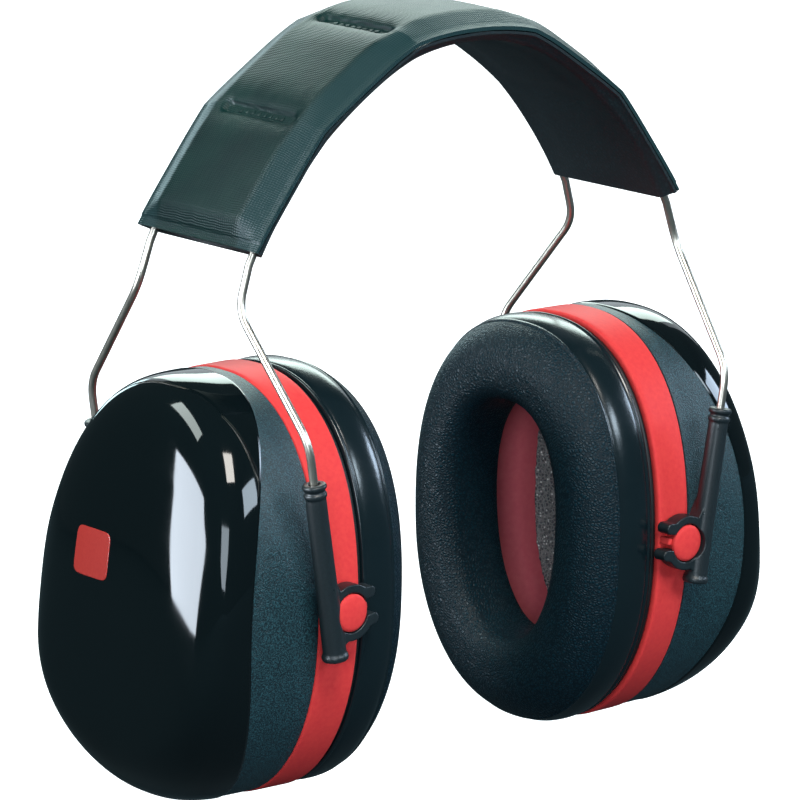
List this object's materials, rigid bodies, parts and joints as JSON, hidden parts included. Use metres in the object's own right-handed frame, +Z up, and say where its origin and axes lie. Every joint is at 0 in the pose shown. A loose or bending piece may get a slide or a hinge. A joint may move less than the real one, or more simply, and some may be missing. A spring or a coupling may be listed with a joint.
{
  "type": "earmuff hearing protector",
  "caption": "Over-the-head hearing protector: deep double-shelled ear cups with soft sealing cushions, sliding and tilting on twin spring wires under a padded headband.",
  "frame": {"origin": "middle of the headband's underside, where it rests on the crown of the head", "axes": "+X to the wearer's right ear, +Y to the wearer's front, +Z up"},
  "size_m": [0.1872, 0.0898, 0.1873],
  "materials": {
    "outer_shell": "high gloss ABS with finely textured flanks",
    "inner_shell": "satin moulded red ABS",
    "liner_foam": "open-cell grey foam",
    "cushion_plate": "satin moulded black",
    "cushion_foam": "open-cell foam",
    "cushion_skin": "pebbled soft vinyl with a smooth side wall",
    "pivot_stud": "satin moulded red",
    "wire_holder": "semi-gloss moulded black acetal",
    "spring_wire": "drawn stainless spring wire",
    "headband_cover": "finely embossed vinyl with welded pads",
    "headband_pad": "open-cell foam",
    "headband_lining": "soft matt vinyl"
  },
  "bodies": {
    "headband": {"front_spring_wire": "spring_wire", "rear_spring_wire": "spring_wire", "headband_cover": "headband_cover", "headband_pad": "headband_pad", "headband_lining": "headband_lining"},
    "left_rear_arm": {"left_rear_wire_holder": "wire_holder"},
    "left_front_arm": {"left_front_wire_holder": "wire_holder"},
    "left_cup": {"left_outer_shell": "outer_shell", "left_inner_shell": "inner_shell", "left_foam_liner": "liner_foam", "left_cushion_plate": "cushion_plate", "left_cushion_foam": "cushion_foam", "left_cushion_skin": "cushion_skin", "left_front_pivot_stud": "pivot_stud", "left_rear_pivot_stud": "pivot_stud"},
    "right_rear_arm": {"right_rear_wire_holder": "wire_holder"},
    "right_front_arm": {"right_front_wire_holder": "wire_holder"},
    "right_cup": {"right_outer_shell": "outer_shell", "right_inner_shell": "inner_shell", "right_foam_liner": "liner_foam", "right_cushion_plate": "cushion_plate", "right_cushion_foam": "cushion_foam", "right_cushion_skin": "cushion_skin", "right_front_pivot_stud": "pivot_stud", "right_rear_pivot_stud": "pivot_stud"}
  },
  "joints": [
    {"name": "left_height", "type": "slide", "parent": "headband", "child": "left_rear_arm", "axis": [0.1644, 0, -0.9864], "range_m": [-0.004, 0.02]},
    {"name": "left_front_height", "type": "slide", "parent": "headband", "child": "left_front_arm", "axis": [0.1644, 0, -0.9864], "range_m": [-0.004, 0.02]},
    {"name": "left_tilt", "type": "hinge", "parent": "left_rear_arm", "child": "left_cup", "pos_m": [-0.0547, 0, -0.1284], "axis": [0, 1, 0], "range_deg": [-8, 8]},
    {"name": "right_height", "type": "slide", "parent": "headband", "child": "right_rear_arm", "axis": [-0.1644, 0, -0.9864], "range_m": [-0.004, 0.02]},
    {"name": "right_front_height", "type": "slide", "parent": "headband", "child": "right_front_arm", "axis": [-0.1644, 0, -0.9864], "range_m": [-0.004, 0.02]},
    {"name": "right_tilt", "type": "hinge", "parent": "right_rear_arm", "child": "right_cup", "pos_m": [0.0547, 0, -0.1284], "axis": [0, 1, 0], "range_deg": [-8, 8]}
  ],
  "couplings": [
    {"joint": "left_front_height", "follows": "left_height", "ratio": 1},
    {"joint": "right_front_height", "follows": "right_height", "ratio": 1}
  ]
}
